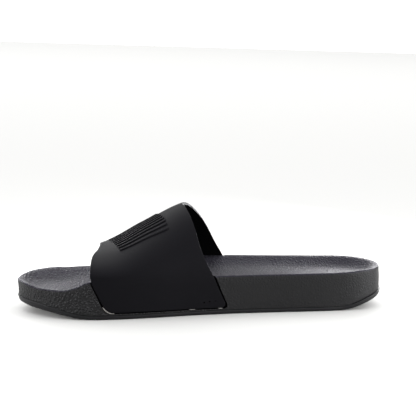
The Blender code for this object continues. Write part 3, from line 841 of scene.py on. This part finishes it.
class SANDAL_OT_ribs(bpy.types.Operator):
    """Builds the raised ribs on the strap's crown"""
    bl_idname = "sandal.ribs"
    bl_label = "Raised ribs"

    def execute(self, context):
        """Each rib is a low bar: a rounded section carried along X over the strap's crown.

        Its half width is half the rib's width times the square root of 1 - (1 - d)^2, where d is
        the distance from its end over half the width, at most 1, so that its ends are round.
        """
        last = sizes(context)
        strap = last.strap
        turn = np.linspace(0, np.pi, RIB_GRID[1])
        way = np.concatenate([[-1], -np.cos(turn), [1]])
        up = np.concatenate([[-0.5], 0.55 + 0.45 * np.sin(turn)**0.7, [-0.5]])
        run = np.linspace(0, np.pi, RIB_GRID[0])
        x_own = -strap.rib_length / 2 * np.cos(run)
        end = np.clip((strap.rib_length / 2 - np.abs(x_own)) / (strap.rib_width / 2), 0, 1)
        half = strap.rib_width / 2 * np.sqrt(1 - (1 - end)**2)
        x = np.broadcast_to((last.x_at(RIB_STATION) + x_own)[:, None], (len(run), len(way)))
        faces = grid_faces(len(run), len(way), True)
        points, all_faces = [], []
        for index in range(strap.rib_count):
            lateral = RIB_MIDDLE + (index - (strap.rib_count - 1) / 2) * strap.rib_pitch
            y = lateral + half[:, None] * way[None, :]
            z = last.crown_z(x, y) + strap.rib_height * up[None, :]
            all_faces.append(faces + len(points) * x.size)
            points.append(np.stack([x, y, z], axis=-1).reshape(-1, 3))
        piece = new_mesh("strap_ribs", np.vstack(points), np.vstack(all_faces))
        piece.data.materials.append(bpy.data.materials["moulded_strap_rubber_satin"])
        settle(piece)
        dress(piece, "strap")
        return {"FINISHED"}


class SANDAL_OT_stage(bpy.types.Operator):
    """Sets up the floor, the soft studio light and the camera"""
    bl_idname = "sandal.stage"
    bl_label = "Studio"

    def execute(self, context):
        scene = context.scene
        scene.view_settings.view_transform = "Standard"
        floor(scene.sandal_colours)
        backdrop()
        surroundings(scene)
        for name, (place, span, watts) in SOFTBOXES.items():
            lamp(name, place, span, watts)
        wash = lamp("paper_softbox", (0.0, 2.9, 2.4), (5.0, 3.0), 38.0, (0.0, 2.9, 0.0))
        wash.visible_glossy = False
        scene.camera = camera()
        return {"FINISHED"}


def floor(colours):
    """Seamless paper: a plain pale sheet on Z = 0."""
    corners = np.array([(-9.0, -9.0, 0.0), (9.0, -9.0, 0.0), (9.0, 9.0, 0.0), (-9.0, 9.0, 0.0)])
    sheet = new_mesh("studio_floor", corners - TO_ORIGIN, np.array([(0, 1, 2, 3)]))
    paper, _ = new_material("seamless_paper_matt", colours.floor, 0.9, 0.1)
    sheet.data.materials.append(paper)


def backdrop():
    """White paper 5 m behind the shoe. Only the camera sees it, so it adds no light to the shoe."""
    corners = np.array([(-6.0, 5.0, 0.0), (6.0, 5.0, 0.0), (6.0, 5.0, 3.0), (-6.0, 5.0, 3.0)])
    sheet = new_mesh("studio_backdrop", corners - TO_ORIGIN, np.array([(0, 1, 2, 3)]))
    paper, shader = new_material("backlit_paper", (1.0, 1.0, 1.0), 0.9, 0.1)
    shader.inputs["Emission Color"].default_value = (1.0, 1.0, 1.0, 1.0)
    shader.inputs["Emission Strength"].default_value = 1.0
    sheet.data.materials.append(paper)
    sheet.visible_diffuse = False
    sheet.visible_glossy = False
    sheet.visible_shadow = False


def surroundings(scene):
    """A soft studio: brightest above the shoe, bright at its sides and back, dark at its front.

    The light from a direction is the front's, plus the back's times a smooth step of its Y, each
    side's times a smooth step of its X, and the top's times a smooth step of its Z.
    """
    world = bpy.data.worlds.new("soft_studio")
    world.use_nodes = True
    scene.world = world
    way = add(world, "ShaderNodeTexCoord").outputs["Generated"]
    parts = add(world, "ShaderNodeSeparateXYZ", {}, {0: way})
    total = FRONT_LIGHT
    for axis, start, end, strength in SKY:
        step = step_of(world, parts.outputs[axis], start, end, 0.0, strength)
        total = combine(world, "ADD", total, step)
    background = world.node_tree.nodes["Background"]
    background.inputs["Color"].default_value = (1.0, 1.0, 1.0, 1.0)
    world.node_tree.links.new(total, background.inputs["Strength"])


def lamp(name, place, span, watts, aim=(0.0, 0.0, 0.0)):
    """A softbox that faces the shoe, or the point it is aimed at."""
    data = bpy.data.lights.new(name, "AREA")
    data.shape = "RECTANGLE"
    data.size, data.size_y = span
    data.energy = watts
    made = bpy.data.objects.new(name, data)
    made.location = place
    made.rotation_euler = (Vector(aim) - Vector(place)).to_track_quat("-Z", "Y").to_euler()
    made.visible_camera = False
    bpy.context.scene.collection.objects.link(made)
    return made


def camera():
    """A level camera that looks at the shoe's middle, rolled, then tilted so that the picture's
    middle lies above the shoe."""
    round_from_side, elevation, roll = np.radians(CAMERA_TURN)
    toward = Vector((-math.sin(round_from_side) * math.cos(elevation),
                     -math.cos(round_from_side) * math.cos(elevation), math.sin(elevation)))
    level_right = Vector((math.cos(round_from_side), -math.sin(round_from_side), 0.0))
    level_up = toward.cross(level_right)
    right = level_right * math.cos(roll) + level_up * math.sin(roll)
    up = level_up * math.cos(roll) - level_right * math.sin(roll)
    back = (toward * FOCAL_PIXELS - right * OFF_MIDDLE[0] - up * OFF_MIDDLE[1]).normalized()
    right = (right - back * right.dot(back)).normalized()
    up = back.cross(right)
    place = Vector(CAMERA_POINT) + toward * CAMERA_DISTANCE
    data = bpy.data.cameras.new("camera")
    data.lens = FOCAL_PIXELS / PICTURE_PIXELS * SENSOR_MM
    data.sensor_width = SENSOR_MM
    data.clip_start = 0.05
    data.clip_end = 50
    made = bpy.data.objects.new("camera", data)
    turn = Matrix((right, up, back)).transposed().to_4x4()
    made.matrix_world = Matrix.Translation(place) @ turn
    bpy.context.scene.collection.objects.link(made)
    return made


class SANDAL_PT_panel(bpy.types.Panel):
    """Lists the pieces of the sandal and their sizes"""
    bl_idname = "SANDAL_PT_panel"
    bl_label = "Sport slide sandal"
    bl_space_type = "VIEW_3D"
    bl_region_type = "UI"
    bl_category = "Sandal"

    def draw(self, context):
        for step in STEPS:
            self.layout.operator(step.bl_idname)
        for group in (context.scene.sandal_sole, context.scene.sandal_strap,
                      context.scene.sandal_colours):
            box = self.layout.box()
            for name in group.__annotations__:
                box.prop(group, name)


STEPS = (SANDAL_OT_footbed, SANDAL_OT_outsole, SANDAL_OT_strap, SANDAL_OT_ribs, SANDAL_OT_glue,
         SANDAL_OT_stage)
GROUPS = {"sandal_sole": SandalSole, "sandal_strap": SandalStrap,
          "sandal_colours": SandalColours}


def register():
    """Registers the classes and gives the scene its sizes and colours."""
    for kind in (*GROUPS.values(), *STEPS, SANDAL_PT_panel):
        bpy.utils.register_class(kind)
    for name, kind in GROUPS.items():
        setattr(bpy.types.Scene, name, PointerProperty(type=kind))


def unregister():
    """Takes back what register did."""
    for name in GROUPS:
        delattr(bpy.types.Scene, name)
    for kind in reversed((*GROUPS.values(), *STEPS, SANDAL_PT_panel)):
        bpy.utils.unregister_class(kind)


def main():
    """Builds every piece and the studio."""
    register()
    bpy.ops.sandal.footbed()
    bpy.ops.sandal.outsole()
    bpy.ops.sandal.strap()
    bpy.ops.sandal.ribs()
    bpy.ops.sandal.glue()
    bpy.ops.sandal.stage()


if __name__ == "__main__":
    main()
